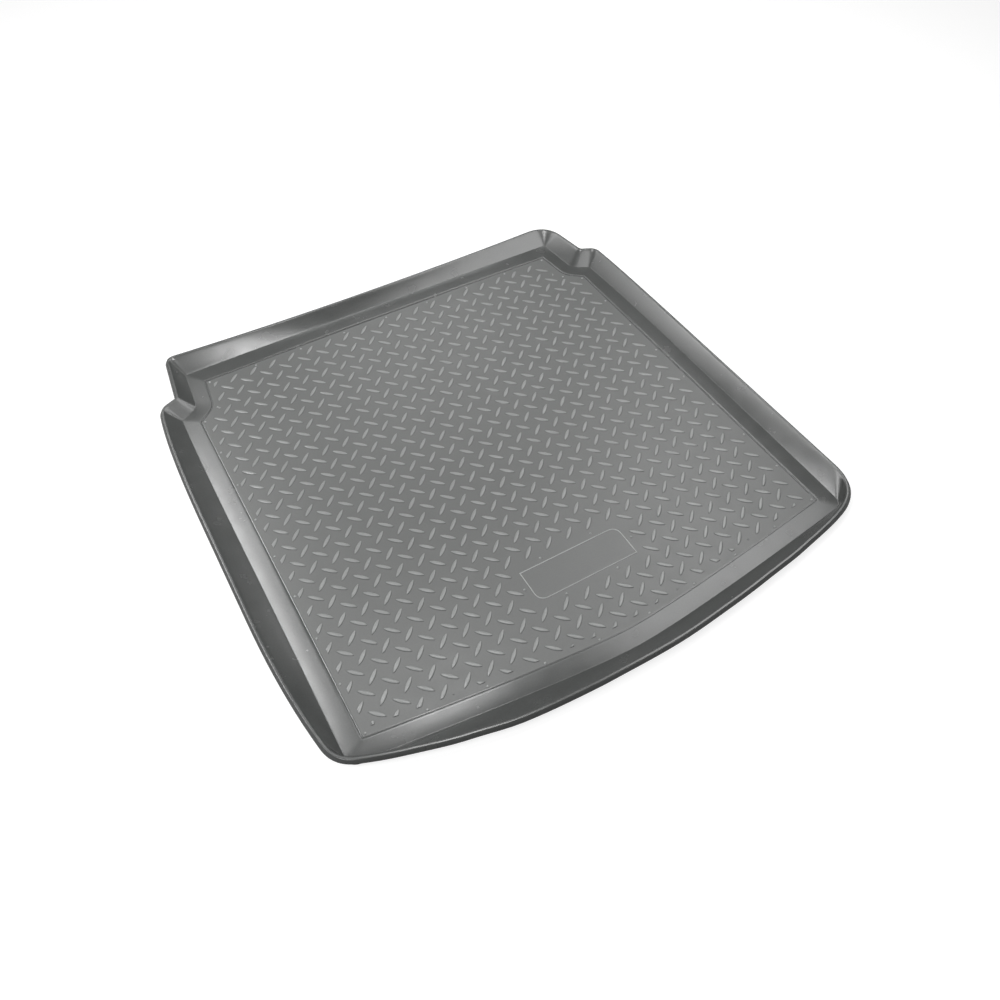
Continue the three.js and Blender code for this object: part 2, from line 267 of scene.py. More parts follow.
# Camera at the photograph's viewing angle
SENSOR = 36.0
LENS = 33.296
LENS_SHIFT = (-0.0471, 0.0022)
CAMERA_PLACE = Vector((-0.49972, -1.07082, 1.24499))
CAMERA_RIGHT = Vector((0.85681, -0.51552, -0.01084))
CAMERA_DOWN = Vector((-0.40071, -0.65246, -0.64322))
CAMERA_FORWARD = Vector((0.32452, 0.55546, -0.76560))
CAMERA_CLIP = (0.05, 60)


class LinerSizes(bpy.types.PropertyGroup):
    """Sizes of the moulded sheet"""

    half_width: FloatProperty(
        name="Half width", description="From the middle to the foot of the rim at the side",
        default=464.5 * MM, unit="LENGTH")
    front: FloatProperty(
        name="Front", description="From the origin to the foot of the rim at the load edge",
        default=491.5 * MM, unit="LENGTH")
    back: FloatProperty(
        name="Back", description="From the origin to the foot of the rim at the seats",
        default=495.5 * MM, unit="LENGTH")
    neck_half_width: FloatProperty(
        name="Neck half width", description="Half the width between the wheel arches",
        default=417.5 * MM, unit="LENGTH")
    neck_length: FloatProperty(
        name="Neck length", description="From the notches to the back corners",
        default=102.5 * MM, unit="LENGTH")
    rim_rise: FloatProperty(
        name="Rim rise", description="Height of the crest above the tread",
        default=20 * MM, unit="LENGTH")
    sheet: FloatProperty(
        name="Sheet", description="Thickness of the sheet",
        default=3 * MM, unit="LENGTH")


class TreadSizes(bpy.types.PropertyGroup):
    """Sizes of the raised forms on the panel"""

    pitch: FloatProperty(
        name="Pitch", description="Distance between bumps that lie the same way",
        default=40 * MM, unit="LENGTH")
    length: FloatProperty(
        name="Length", description="Length of a bump", default=30 * MM, unit="LENGTH")
    width: FloatProperty(
        name="Width", description="Width of a bump", default=7.8 * MM, unit="LENGTH")
    height: FloatProperty(
        name="Height", description="Height of a bump", default=1.3 * MM, unit="LENGTH")
    plate_length: FloatProperty(
        name="Plate length", description="Length of the plate's outline",
        default=191 * MM, unit="LENGTH")
    plate_width: FloatProperty(
        name="Plate width", description="Width of the plate's outline",
        default=66 * MM, unit="LENGTH")
    plate_line: FloatProperty(
        name="Plate line", description="Width of the line round the plate",
        default=2 * MM, unit="LENGTH")
    plate_height: FloatProperty(
        name="Plate height", description="Height of the line round the plate",
        default=0.8 * MM, unit="LENGTH")
    nub_width: FloatProperty(
        name="Nub width", description="Diameter of a vent nub",
        default=4.5 * MM, unit="LENGTH")
    nub_height: FloatProperty(
        name="Nub height", description="Height of a vent nub",
        default=1.2 * MM, unit="LENGTH")


class LinerFinish(bpy.types.PropertyGroup):
    """Colour and gloss of the polyurethane"""

    colour: FloatVectorProperty(
        name="Colour", description="Colour of the moulded polyurethane",
        default=(0.1, 0.104, 0.101), subtype="COLOR", min=0.0, max=1.0)
    # Painted sheen: the bumps, nubs and plate line are the sheet's own polyurethane, coloured
    # lighter here to stand in for the gloss on their raised tops
    painted_sheen_colour: FloatVectorProperty(
        name="Tread colour", description="Colour of the bumps, nubs and plate line",
        default=(0.235, 0.242, 0.238), subtype="COLOR", min=0.0, max=1.0)
    rim_colour: FloatVectorProperty(
        name="Rim colour", description="Colour of the glossier border and rim",
        default=(0.078, 0.081, 0.079), subtype="COLOR", min=0.0, max=1.0)
    rim_roughness: FloatProperty(
        name="Rim roughness", description="Roughness of the border and the rim",
        default=0.25, subtype="FACTOR", min=0.0, max=1.0)
    floor_roughness: FloatProperty(
        name="Floor roughness", description="Roughness of the panel between the bumps",
        default=0.42, subtype="FACTOR", min=0.0, max=1.0)
    tread_roughness: FloatProperty(
        name="Tread roughness", description="Roughness of the bumps, nubs and plate line",
        default=0.34, subtype="FACTOR", min=0.0, max=1.0)


class StageSettings(bpy.types.PropertyGroup):
    """Floor, lamps and camera"""

    floor_colour: FloatVectorProperty(
        name="Floor colour", description="Colour of the floor the liner lies on",
        default=(0.35, 0.35, 0.35), subtype="COLOR", min=0.0, max=1.0)
    lamps: FloatProperty(
        name="Lamps", description="Strength of all lamps together", default=1.0, min=0.0)
    sky: FloatProperty(
        name="Sky", description="Strength of the even light from all round",
        default=0.0, min=0.0)


def corner_plan(half_width, front_y, front_bow, front_round, outer_notch, outer_round,
                inner_notch, inner_round, back_corner, back_round, back_y, fullness, taper=0.0):
    """Corner points of one half of a closed outline, with the rounding at each."""
    return {
        "half_width": half_width, "front_y": front_y, "front_bow": front_bow,
        "front_round": front_round, "outer_notch": outer_notch, "outer_round": outer_round,
        "inner_notch": inner_notch, "inner_round": inner_round, "back_corner": back_corner,
        "back_round": back_round, "back_y": back_y, "fullness": fullness, "taper": taper,
    }


def foot_plan(sizes):
    """Plan of the rim's foot, before the right side's swell."""
    notch_y = sizes.back - BACK_BOW - sizes.neck_length
    return corner_plan(
        half_width=sizes.half_width, front_y=-sizes.front, front_bow=FRONT_BOW,
        front_round=FLOOR_FRONT_ROUND, fullness=FRONT_FULLNESS,
        outer_notch=Vector((sizes.half_width - NOTCH_PINCH, notch_y - NOTCH_SLANT)),
        outer_round=NOTCH_OUTER_ROUND,
        inner_notch=Vector((sizes.neck_half_width + NECK_FLARE, notch_y)),
        inner_round=NOTCH_INNER_ROUND,
        back_corner=Vector((sizes.neck_half_width, sizes.back - BACK_BOW)),
        back_round=FLOOR_BACK_ROUND, back_y=sizes.back)


def swollen_plan(plan, swell):
    """A plan whose side stands out a little between its corners."""
    return {**plan, "half_width": plan["half_width"] + swell, "taper": plan["taper"] + swell}


def panel_plan(foot):
    """Plan of the treaded panel, drawn in from the foot by the border."""
    half_width = foot["half_width"] - BORDER_SIDE
    back_y = foot["back_y"] - BORDER_BACK
    inner, back = foot["inner_notch"], foot["back_corner"]
    return corner_plan(
        half_width=half_width, front_y=foot["front_y"] + BORDER_FRONT,
        front_bow=foot["front_bow"] * half_width / foot["half_width"],
        front_round=PANEL_CORNER_ROUND, fullness=foot["fullness"],
        outer_notch=Vector((half_width, foot["outer_notch"].y - BORDER_NOTCH_OUTER)),
        outer_round=PANEL_CORNER_ROUND,
        inner_notch=Vector((inner.x - BORDER_NECK, inner.y - BORDER_NOTCH_INNER)),
        inner_round=PANEL_NECK_ROUND,
        back_corner=Vector((back.x - BORDER_NECK, back_y - PANEL_BACK_BOW)),
        back_round=PANEL_CORNER_ROUND, back_y=back_y)


def crest_plan(foot, side):
    """Plan of the crest on one side, which stands outside the foot."""
    half_width = foot["half_width"] + side["run_side"]
    back_y = foot["back_y"] + RUN_BACK
    outer, inner, back = foot["outer_notch"], foot["inner_notch"], foot["back_corner"]
    return corner_plan(
        half_width=half_width, front_y=foot["front_y"] - RUN_FRONT,
        front_bow=side["front_bow"], front_round=side["front_round"],
        outer_notch=Vector((half_width - side["pinch"], outer.y + NOTCH_RUN_OUTER)),
        outer_round=CREST_NOTCH_OUTER_ROUND,
        inner_notch=Vector((inner.x + side["run_notch"], inner.y + NOTCH_RUN_INNER)),
        inner_round=CREST_NOTCH_INNER_ROUND,
        back_corner=Vector((back.x + side["run_back_corner"], back_y + side["back_hollow"])),
        back_round=side["back_round"], back_y=back_y,
        fullness=side["front_fullness"], taper=side["taper"])


def inset_plan(plan, front, side, back):
    """A plan drawn in at the front, at the sides and at the back."""
    return {
        **plan,
        "front_y": plan["front_y"] + front,
        "half_width": plan["half_width"] - side,
        "outer_notch": plan["outer_notch"] - Vector((side, side / 2)),
        "inner_notch": plan["inner_notch"] - Vector((side, side / 2)),
        "back_corner": plan["back_corner"] - Vector((side, back)),
        "back_y": plan["back_y"] - back,
    }


def front_edge_y(plan, x):
    """Place of a plan's front edge at x, on a curve whose control lies at the fullness."""
    full, reach = plan["fullness"], abs(x)
    spare = (plan["half_width"] - 2 * full) * reach
    share = reach / (full + math.sqrt(full ** 2 + spare))
    return plan["front_y"] + plan["front_bow"] * share ** 2


def towards(start, end, distance):
    """The point at a distance from one point towards another."""
    return start + (end - start).normalized() * distance


def curve(start, control, end, steps):
    """Points of a quadratic curve, without its first one."""
    ts = [(i + 1) / steps for i in range(steps)]
    return [start * (1 - t) ** 2 + control * 2 * t * (1 - t) + end * t ** 2 for t in ts]


def half_outline(plan):
    """Right half of a plan, from the middle of the front to the middle of the back."""
    half_width, front_y, back_y = plan["half_width"], plan["front_y"], plan["back_y"]
    outer, inner, back_corner = plan["outer_notch"], plan["inner_notch"], plan["back_corner"]
    front_middle = Vector((0, front_y))
    front_control = Vector((plan["fullness"], front_y))
    corner_x = half_width - plan["taper"]
    front_corner = Vector((corner_x, front_edge_y(plan, corner_x)))
    front_end = towards(front_corner, front_control, plan["front_round"])
    taper_control = Vector((half_width, front_corner.y + TAPER_LENGTH / 2))
    taper_start = towards(front_corner, taper_control, plan["front_round"])
    taper_end = Vector((half_width, front_corner.y + TAPER_LENGTH))
    pinch_start = Vector((half_width, outer.y - PINCH_LENGTH))
    pinch_control = Vector((half_width, outer.y - PINCH_LENGTH / 3))
    outer_start = towards(outer, pinch_control, plan["outer_round"])
    outer_end = towards(outer, inner, plan["outer_round"])
    inner_start = towards(inner, outer, plan["inner_round"])
    inner_end = towards(inner, back_corner, plan["inner_round"])
    back_start = towards(back_corner, inner, plan["back_round"])
    back_control = Vector((back_corner.x / 2, back_y))
    back_end = towards(back_corner, back_control, plan["back_round"])
    back_middle = Vector((0, back_y))
    return [
        front_middle,
        *curve(front_middle, front_control, front_end, FRONT_STEPS),
        *curve(front_end, front_corner, taper_start, FRONT_CORNER_STEPS),
        *curve(taper_start, taper_control, taper_end, TAPER_STEPS),
        taper_end.lerp(pinch_start, 0.5),
        pinch_start,
        *curve(pinch_start, pinch_control, outer_start, PINCH_STEPS),
        *curve(outer_start, outer, outer_end, OUTER_NOTCH_STEPS),
        outer_end.lerp(inner_start, 0.5),
        inner_start,
        *curve(inner_start, inner, inner_end, INNER_NOTCH_STEPS),
        inner_end.lerp(back_start, 0.33),
        inner_end.lerp(back_start, 0.67),
        back_start,
        *curve(back_start, back_corner, back_end, BACK_CORNER_STEPS),
        *curve(back_end, back_control, back_middle, BACK_STEPS),
    ]


def outline(right, left):
    """Whole outline, counter-clockwise from above, from a plan for each side."""
    mirrored = [Vector((-p.x, p.y)) for p in reversed(half_outline(left)[1:-1])]
    return half_outline(right) + mirrored


def waved(points):
    """Outline with the slight waves of its front."""
    moved = []
    for point in points:
        shift = 0.0
        for (x0, in0), (x1, in1) in zip(FRONT_WAVES, FRONT_WAVES[1:]):
            if x0 <= point.x <= x1 and point.y < WAVES_BEFORE:
                share = (point.x - x0) / (x1 - x0)
                shift = in0 + (in1 - in0) * share * share * (3 - 2 * share)
        moved.append(point + Vector((0, shift)))
    return moved


def offset(points, distance):
    """Outline moved outwards by a distance, square to its edges."""
    moved = []
    for i, point in enumerate(points):
        before = (point - points[i - 1]).normalized()
        after = (points[(i + 1) % len(points)] - point).normalized()
        out = Vector((before.y + after.y, -before.x - after.x)).normalized()
        moved.append(point + out * (distance / (out.x * before.y - out.y * before.x)))
    return moved


def between(inner, outer, share):
    """Outline that lies a share of the way from one outline to another."""
    return [a.lerp(b, share) for a, b in zip(inner, outer)]


def raised(points, z):
    """Points of a plan at a height."""
    return [Vector((p.x, p.y, z)) for p in points]


def wall_climb(share):
    """Height up the wall at a share of its way out, a little hollow between foot and crest."""
    return (1 - WALL_HOLLOW) * share + WALL_HOLLOW * share ** 2


def section_rings(sizes):
    """Closed rings from the panel out over the border, the rim and the lip, and back under."""
    foot = foot_plan(sizes)
    panel = outline(panel_plan(foot), panel_plan(foot))
    crest = waved(outline(crest_plan(foot, CREST_RIGHT), crest_plan(foot, CREST_LEFT)))
    foot = outline(swollen_plan(foot, RIGHT_SWELL), foot)
    floor_z = sizes.sheet
    crest_z = floor_z + sizes.rim_rise

    # thin groove along the panel line, and the step up to the border
    rings = [raised(offset(panel, out * MM), floor_z + rise * MM) for out, rise in PANEL_LINE]

    # border, which falls away a little faster towards the crease at the rim's foot
    step_out, step_rise = PANEL_LINE[-1]
    edge, crease = offset(panel, step_out * MM), offset(foot, BORDER_END * MM)
    for share in BORDER_SHARES:
        rise = step_rise - BORDER_FALL * share - BORDER_DROOP * share ** 3
        rings.append(raised(between(edge, crease, share), floor_z + rise * MM))

    # crease and wall
    for out, rise in CREASE:
        rings.append(raised(offset(foot, out * MM), floor_z + rise * MM))
    foot_out, foot_rise = CREASE[-1]
    top_out, top_drop = CREST_SECTION[0]
    wall_foot, wall_top = offset(foot, foot_out * MM), offset(crest, top_out * MM)
    low, high = floor_z + foot_rise * MM, crest_z - top_drop * MM
    for step in range(1, WALL_STEPS):
        share = step / WALL_STEPS
        z = low + (high - low) * wall_climb(share)
        rings.append(raised(between(wall_foot, wall_top, share), z))

    # crest, lip and the outside of the turned-down edge
    for out, drop in CREST_SECTION:
        rings.append(raised(offset(crest, out * MM), crest_z - drop * MM))

    # underside: round the edge and back up inside it, with eased corners, to below the lip
    lean = math.atan2(sizes.rim_rise, RUN_FRONT)
    out, down = sizes.sheet * math.sin(lean), sizes.sheet * math.cos(lean)
    lip_z = crest_z - LIP_FALL
    hem_out, hem_z = LIP_WIDTH + HEM_FLARE, lip_z - HEM_DROP
    hem_in, lip_in = hem_out - HEM_THICKNESS, LIP_WIDTH - HEM_THICKNESS
    for reach, z in ((hem_out - 0.5 * MM, hem_z - 0.25 * MM),
                     (hem_in + 0.4 * MM, hem_z - 0.25 * MM),
                     (hem_in, hem_z + 0.2 * MM),
                     (lip_in + 0.6 * MM, lip_z - HEM_THICKNESS - 0.3 * MM),
                     (lip_in, lip_z - HEM_THICKNESS),
                     (out - 1.8 * MM, crest_z - 1.2 * MM - down)):
        rings.append(raised(offset(crest, reach), z))

    # underside: down the wall, and in to the flat base
    under_foot, under_top = offset(foot, UNDER_FOOT_OUT + out), offset(crest, out - UNDER_TOP_IN)
    low, high = floor_z + UNDER_FOOT_RISE - down, crest_z - UNDER_TOP_DROP - down
    for step in range(UNDER_STEPS, -1, -1):
        share = step / UNDER_STEPS
        z = low + (high - low) * wall_climb(share)
        rings.append(raised(between(under_foot, under_top, share), z))
    for out, z in UNDER_FOOT:
        rings.append(raised(offset(foot, out * MM), z * MM))
    return rings


def only_active(obj):
    """Selects one object alone and makes it the active one."""
    bpy.ops.object.select_all(action="DESELECT")
    obj.select_set(True)
    bpy.context.view_layer.objects.active = obj


def finish_piece(obj, name, *materials):
    """Applies the object's place, names it, gives it its materials and hands it to the frame."""
    only_active(obj)
    bpy.ops.object.transform_apply(location=True, rotation=True, scale=True)
    obj.name = name
    obj.data.name = name
    obj.data.materials.clear()
    for material in materials:
        obj.data.materials.append(material)
    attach(obj, "root")
    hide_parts("liner")


def wrap_rings(rings, ends=False):
    """A grid laid over the rings and closed along its seam, with both ends filled if asked."""
    around = len(rings[0])
    bpy.ops.mesh.primitive_grid_add(x_subdivisions=around, y_subdivisions=len(rings) - 1)
    obj = bpy.context.active_object
    places = [ring[i % around] for ring in rings for i in range(around + 1)]
    obj.data.vertices.foreach_set("co", [c for place in places for c in place])
    bpy.ops.object.mode_set(mode="EDIT")
    bpy.ops.mesh.select_all(action="SELECT")
    bpy.ops.mesh.remove_doubles(threshold=0.001 * MM)
    if ends:
        bpy.ops.mesh.fill_holes(sides=0)
        bpy.ops.mesh.select_all(action="SELECT")
    bpy.ops.mesh.normals_make_consistent(inside=False)
    bpy.ops.object.mode_set(mode="OBJECT")
    return obj


def lighter(colour, factor):
    """A colour made lighter by a factor."""
    return [factor * c for c in colour]


def material_nodes(name):
    """A new material with its nodes, links and shader."""
    material = bpy.data.materials.new(name)
    material.use_nodes = True
    nodes, links = material.node_tree.nodes, material.node_tree.links
    return material, nodes, links, nodes["Principled BSDF"]


def polyurethane(name, colour, roughness, grain, foot=None):
    """Moulded polyurethane: faint clouding, a fine speckle, uneven gloss and a grain.

    The grain is its strength and its size. A foot is a darker colour painted low on a raised
    form as painted shade, and the height where it ends.
    """
    material, nodes, links, shader = material_nodes(name)
    place = nodes.new("ShaderNodeTexCoord").outputs["Object"]

    def noise(size, detail):
        node = nodes.new("ShaderNodeTexNoise")
        node.inputs["Scale"].default_value = 1 / size
        node.inputs["Detail"].default_value = detail
        links.new(place, node.inputs["Vector"])
        return node.outputs["Fac"]

    def spread(value, low, high):
        node = nodes.new("ShaderNodeMapRange")
        node.inputs["From Min"].default_value = NOISE_RANGE[0]
        node.inputs["From Max"].default_value = NOISE_RANGE[1]
        node.inputs["To Min"].default_value = low
        node.inputs["To Max"].default_value = high
        links.new(value, node.inputs["Value"])
        return node.outputs["Result"]

    shader.inputs["Specular IOR Level"].default_value = SHEEN
    shade = nodes.new("ShaderNodeMath")
    shade.operation = "ADD"
    links.new(spread(noise(CLOUD_SIZE, 4), *CLOUD_SHARE), shade.inputs[0])
    links.new(spread(noise(SPECKLE_SIZE, 2), *SPECKLE_SHARE), shade.inputs[1])
    tone = nodes.new("ShaderNodeMix")
    tone.data_type = "RGBA"
    tone.inputs["A"].default_value = (*lighter(colour, 1 - TONE_SPREAD), 1)
    tone.inputs["B"].default_value = (*lighter(colour, 1 + TONE_SPREAD), 1)
    links.new(shade.outputs["Value"], tone.inputs["Factor"])
    shown = tone.outputs["Result"]
    # painted shade: below the foot's height the colour turns to the darker foot colour
    if foot is not None:
        painted_shade_colour, painted_shade_top = foot
        split = nodes.new("ShaderNodeSeparateXYZ")
        links.new(place, split.inputs["Vector"])
        height = nodes.new("ShaderNodeMapRange")
        height.inputs["From Min"].default_value = painted_shade_top - SHADED_FOOT_BLEND
        height.inputs["From Max"].default_value = painted_shade_top + SHADED_FOOT_BLEND
        links.new(split.outputs["Z"], height.inputs["Value"])
        painted_foot_shade = nodes.new("ShaderNodeMix")
        painted_foot_shade.data_type = "RGBA"
        painted_foot_shade.inputs["A"].default_value = (*painted_shade_colour, 1)
        links.new(height.outputs["Result"], painted_foot_shade.inputs["Factor"])
        links.new(shown, painted_foot_shade.inputs["B"])
        shown = painted_foot_shade.outputs["Result"]
    links.new(shown, shader.inputs["Base Color"])
    gloss = spread(noise(GLOSS_SIZE, 5), roughness - GLOSS_SPREAD, roughness + GLOSS_SPREAD)
    links.new(gloss, shader.inputs["Roughness"])
    bump = nodes.new("ShaderNodeBump")
    strength, size = grain
    bump.inputs["Strength"].default_value = strength
    bump.inputs["Distance"].default_value = GRAIN_DEPTH
    links.new(noise(size, 3), bump.inputs["Height"])
    links.new(bump.outputs["Normal"], shader.inputs["Normal"])
    return material


def plate_middle(sizes):
    """Middle of the plate in the plan."""
    return Vector((PLATE_X, -sizes.front + PLATE_TO_FRONT))


def bump_places(sizes, tread):
    """Middles and turns of the bumps: a lattice turned a quarter from one to the next."""
    step = tread.pitch / 2
    columns = math.ceil(sizes.half_width / step) + 1
    rows = math.ceil(max(sizes.front, sizes.back) / step) + 1
    plate = plate_middle(sizes)
    clear_x = tread.plate_length / 2 + PLATE_CLEARANCE
    clear_y = tread.plate_width / 2 + PLATE_CLEARANCE
    for row in range(-rows, rows + 1):
        for column in range(-columns, columns + 1):
            place = TREAD_SHIFT + Vector((column * step, row * step))
            near = place - plate
            if (row + column) % 2 == 0 and (abs(near.x) > clear_x or abs(near.y) > clear_y):
                yield place, math.pi / 4 if row % 2 == 0 else -math.pi / 4


def lens(length, width, height, base_z):
    """One bump: pointed at both ends, sloped at the sides and softly crowned on top."""
    side = BUMP_SIDE * height
    bpy.ops.mesh.primitive_cylinder_add(vertices=BUMP_CORNERS, radius=0.5, depth=SINK + side)
    obj = bpy.context.active_object
    for vertex in obj.data.vertices:
        turn = math.atan2(-vertex.co.x, vertex.co.y)
        along, across = math.cos(turn), math.sin(turn)
        pointed = math.copysign(abs(across) ** BUMP_POINTEDNESS, across)
        long_share, wide_share = (1.0, 1.0) if vertex.co.z < 0 else BUMP_TOP
        vertex.co.x = along * length / 2 * long_share
        vertex.co.y = pointed * width / 2 * wide_share
        vertex.co.z += base_z + (side - SINK) / 2
    bpy.ops.object.mode_set(mode="EDIT")
    bpy.ops.mesh.select_mode(type="FACE")
    bpy.ops.mesh.select_all(action="DESELECT")
    bpy.ops.object.mode_set(mode="OBJECT")
    top = max(obj.data.polygons, key=lambda face: face.center.z)
    top.select = True
    bpy.ops.object.mode_set(mode="EDIT")
    rise = CROWN_RISE * height
    bpy.ops.mesh.extrude_region_move(TRANSFORM_OT_translate={"value": (0, 0, rise)})
    bpy.ops.transform.resize(value=(*CROWN_SIZE, 1))
    bpy.ops.mesh.poke()
    bpy.ops.object.mode_set(mode="OBJECT")
    obj.data.vertices[-1].co.z += CROWN_TIP * height
    bpy.ops.object.shade_smooth()
    return obj


def copies(model, places):
    """Copies of a model, each with its own mesh, joined into one object."""
    made = []
    for place, turn in places:
        copy = model.copy()
        copy.data = model.data.copy()
        move = Matrix.Translation((place.x, place.y, 0))
        copy.data.transform(move @ Matrix.Rotation(turn, 4, "Z"))
        bpy.context.collection.objects.link(copy)
        made.append(copy)
    bpy.data.objects.remove(model)
    bpy.ops.object.select_all(action="DESELECT")
    for copy in made:
        copy.select_set(True)
    bpy.context.view_layer.objects.active = made[0]
    bpy.ops.object.join()
    return bpy.context.active_object


def prism(points, low, high):
    """A straight-sided block over an outline."""
    bpy.ops.mesh.primitive_circle_add(vertices=len(points), fill_type="NGON")
    obj = bpy.context.active_object
    for vertex, point in zip(obj.data.vertices, points):
        vertex.co = (point.x, point.y, low)
    bpy.ops.object.mode_set(mode="EDIT")
    bpy.ops.mesh.select_all(action="SELECT")
    bpy.ops.mesh.extrude_region_move(TRANSFORM_OT_translate={"value": (0, 0, high - low)})
    bpy.ops.mesh.select_all(action="SELECT")
    bpy.ops.mesh.normals_make_consistent(inside=False)
    bpy.ops.object.mode_set(mode="OBJECT")
    return obj


def nub_places(sizes, tread):
    """Middles of the vent nubs: along the panel line, round the plate, and one spare."""
    plan = inset_plan(panel_plan(foot_plan(sizes)), NUB_INSET_FRONT, NUB_INSET, NUB_INSET)

    def steps(start, end):
        count = max(round((end - start).length / NUB_PITCH), 1)
        return [start.lerp(end, i / count) for i in range(count)]

    def mirrored(point):
        return Vector((-point.x, point.y))

    front = Vector((plan["half_width"], front_edge_y(plan, plan["half_width"])))
    outer, inner, back = plan["outer_notch"], plan["inner_notch"], plan["back_corner"]
    side = steps(front, outer) + steps(outer, inner) + steps(inner, back)
    front_row = steps(front, mirrored(front))[1:]
    front_row = [Vector((p.x, front_edge_y(plan, p.x))) for p in front_row]
    back_row = steps(back, mirrored(back)) + [mirrored(back)]
    plate = plate_middle(sizes)
    beside_x = tread.plate_length / 2 + NUB_PLATE_GAP
    beside_y = tread.plate_width / 2 + NUB_PLATE_GAP
    around = [(-beside_x, 0), (beside_x, 0)]
    around += [(x, y) for x in (-NUB_PLATE_HALF_SPACING, NUB_PLATE_HALF_SPACING)
               for y in (-beside_y, beside_y)]
    rim = side + [mirrored(p) for p in side] + front_row + back_row
    return rim + [plate + Vector(p) for p in around] + [mirrored(front) + EXTRA_NUB]


class LINER_OT_sheet(bpy.types.Operator):
    """Model the moulded sheet: panel, border, rim, lip and underside"""

    bl_idname = "boot_liner.sheet"
    bl_label = "Sheet"

    def execute(self, context):
        scene = context.scene
        finish = scene.liner_finish
        obj = wrap_rings(section_rings(scene.liner_sizes), ends=True)
        bpy.ops.object.shade_smooth()
        rim = polyurethane(
            "polyurethane_rim", finish.rim_colour, finish.rim_roughness, RIM_GRAIN)
        floor = polyurethane(
            "polyurethane_floor", finish.colour, finish.floor_roughness, FLOOR_GRAIN)
        finish_piece(obj, "sheet", rim, floor)

        # the panel is the largest face that looks up
        upward = (face for face in obj.data.polygons if face.normal.z > 0.99)
        panel = max(upward, key=lambda face: face.area)
        panel.material_index = 1
        return {"FINISHED"}


class LINER_OT_tread(bpy.types.Operator):
    """Model the raised bumps of the tread, cut off at the panel's margin"""

    bl_idname = "boot_liner.tread"
    bl_label = "Tread"

    def execute(self, context):
        scene = context.scene
        sizes, tread, finish = scene.liner_sizes, scene.tread_sizes, scene.liner_finish
        bump = lens(tread.length, tread.width, tread.height, sizes.sheet)
        obj = copies(bump, bump_places(sizes, tread))
        margin = inset_plan(
            panel_plan(foot_plan(sizes)), MARGIN_FRONT, MARGIN_SIDE, MARGIN_BACK)
        shift = Vector((MARGIN_SHIFT_X, 0))
        block = prism([p + shift for p in outline(margin, margin)],
                      sizes.sheet - BLOCK_BELOW, sizes.sheet + BLOCK_ABOVE)
        only_active(obj)
        cut = obj.modifiers.new("margin", "BOOLEAN")
        cut.operation = "INTERSECT"
        cut.object = block
        bpy.ops.object.modifier_apply(modifier=cut.name)
        bpy.data.objects.remove(block)
        bpy.ops.object.shade_smooth_by_angle(angle=BUMP_SMOOTH_ANGLE)
        # painted sheen: the tops of the bumps take the lighter colour
        material = polyurethane(
            "polyurethane_tread_painted_sheen_and_shade", finish.painted_sheen_colour, finish.tread_roughness, RAISED_GRAIN,
            # painted shade: the foot of each bump keeps the sheet's darker colour
            foot=(finish.colour, sizes.sheet + SHADED_FOOT_SHARE * tread.height))
        finish_piece(obj, "tread", material)
        return {"FINISHED"}


class LINER_OT_plate(bpy.types.Operator):
    """Model the raised line round the bare plate"""

    bl_idname = "boot_liner.plate"
    bl_label = "Plate outline"

    def execute(self, context):
        scene = context.scene
        sizes, tread, finish = scene.liner_sizes, scene.tread_sizes, scene.liner_finish
        x, y, line = tread.plate_length / 2, tread.plate_width / 2, tread.plate_line
        section = [(share * line, rise * tread.plate_height) for share, rise in PLATE_SECTION]
        loops = []
        for inset, z in ((0, -SINK), *section, (line, -SINK)):
            a, b, r = x - inset, y - inset, PLATE_ROUND - inset
            corners = [Vector((a, -b)), Vector((a, b - r))]
            corners += curve(
                Vector((a, b - r)), Vector((a, b)), Vector((a - r, b)), PLATE_CORNER_STEPS)
            corners += [Vector((-a, b)), Vector((-a, -b + r))]
            corners += curve(
                Vector((-a, -b + r)), Vector((-a, -b)), Vector((-a + r, -b)), PLATE_CORNER_STEPS)
            loops.append(raised(corners, z))
        obj = wrap_rings(loops + loops[:1])
        bpy.ops.object.shade_smooth_by_angle(angle=PLATE_SMOOTH_ANGLE)
        obj.location = (*plate_middle(sizes), sizes.sheet)
        # painted highlight: the plate line is coloured lighter than the bumps
        material = polyurethane(
            "polyurethane_plate_painted_highlight", lighter(finish.painted_sheen_colour, PLATE_PAINTED_HIGHLIGHT),
            finish.tread_roughness, RAISED_GRAIN)
        finish_piece(obj, "plate_line", material)
        return {"FINISHED"}


class LINER_OT_nubs(bpy.types.Operator):
    """Model the vent nubs left by the mould"""

    bl_idname = "boot_liner.nubs"
    bl_label = "Vent nubs"

    def execute(self, context):
        scene = context.scene
        sizes, tread, finish = scene.liner_sizes, scene.tread_sizes, scene.liner_finish
        bpy.ops.mesh.primitive_uv_sphere_add(segments=12, ring_count=8, radius=0.5)
        nub = bpy.context.active_object
        for vertex in nub.data.vertices:
            vertex.co.x *= tread.nub_width
            vertex.co.y *= tread.nub_width
            vertex.co.z = sizes.sheet + vertex.co.z * 2 * tread.nub_height
        bpy.ops.object.shade_smooth()
        obj = copies(nub, [(place, 0.0) for place in nub_places(sizes, tread)])
        # painted highlight: the nubs are coloured lighter than the bumps
        material = polyurethane(
            "polyurethane_nubs_painted_highlight", lighter(finish.painted_sheen_colour, NUB_PAINTED_HIGHLIGHT),
            finish.tread_roughness, RAISED_GRAIN)
        finish_piece(obj, "vent_nubs", material)
        return {"FINISHED"}


def lamp(name, place, size, power):
    """A rectangular soft lamp that shines straight down."""
    data = bpy.data.lights.new(name, "AREA")
    data.shape = "RECTANGLE"
    data.size, data.size_y = size
    data.energy = power
    obj = bpy.data.objects.new(name, data)
    bpy.context.collection.objects.link(obj)
    obj.location = place


